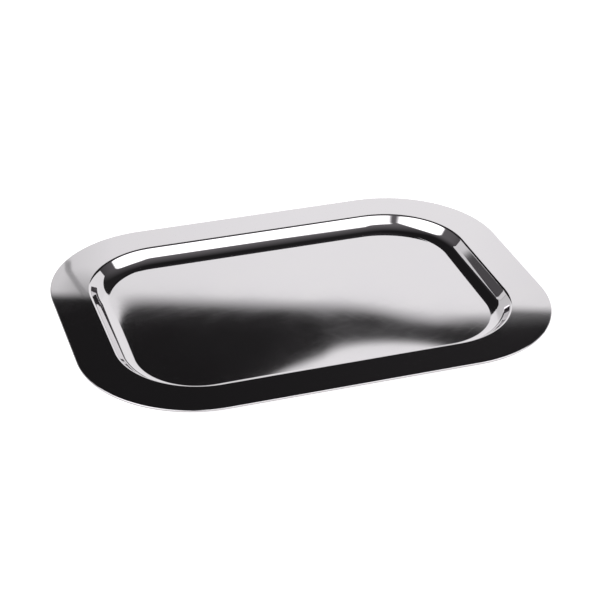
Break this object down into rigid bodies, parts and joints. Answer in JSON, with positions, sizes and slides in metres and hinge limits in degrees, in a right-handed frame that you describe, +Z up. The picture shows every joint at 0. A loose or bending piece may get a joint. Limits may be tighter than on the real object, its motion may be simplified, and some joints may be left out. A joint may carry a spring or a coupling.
{
  "type": "pill counting tray",
  "caption": "Shallow rounded-rectangle tray of polished stainless steel with a wide flat rim and a round-cornered well, for counting tablets and holding small items, on stick-on rubber feet.",
  "frame": {"origin": "middle of the tray in plan, on the surface that its feet stand on", "axes": "+X along the tray's length, +Y across its width towards the rear, +Z up out of the well"},
  "size_m": [0.24, 0.176, 0.0098],
  "materials": {
    "polished_stainless_steel": "polished",
    "foot_rubber": "matte"
  },
  "bodies": {
    "root": {"tray_pan": "polished_stainless_steel", "foot_front_left": "foot_rubber", "foot_front_right": "foot_rubber", "foot_rear_left": "foot_rubber", "foot_rear_right": "foot_rubber"}
  },
  "joints": []
}
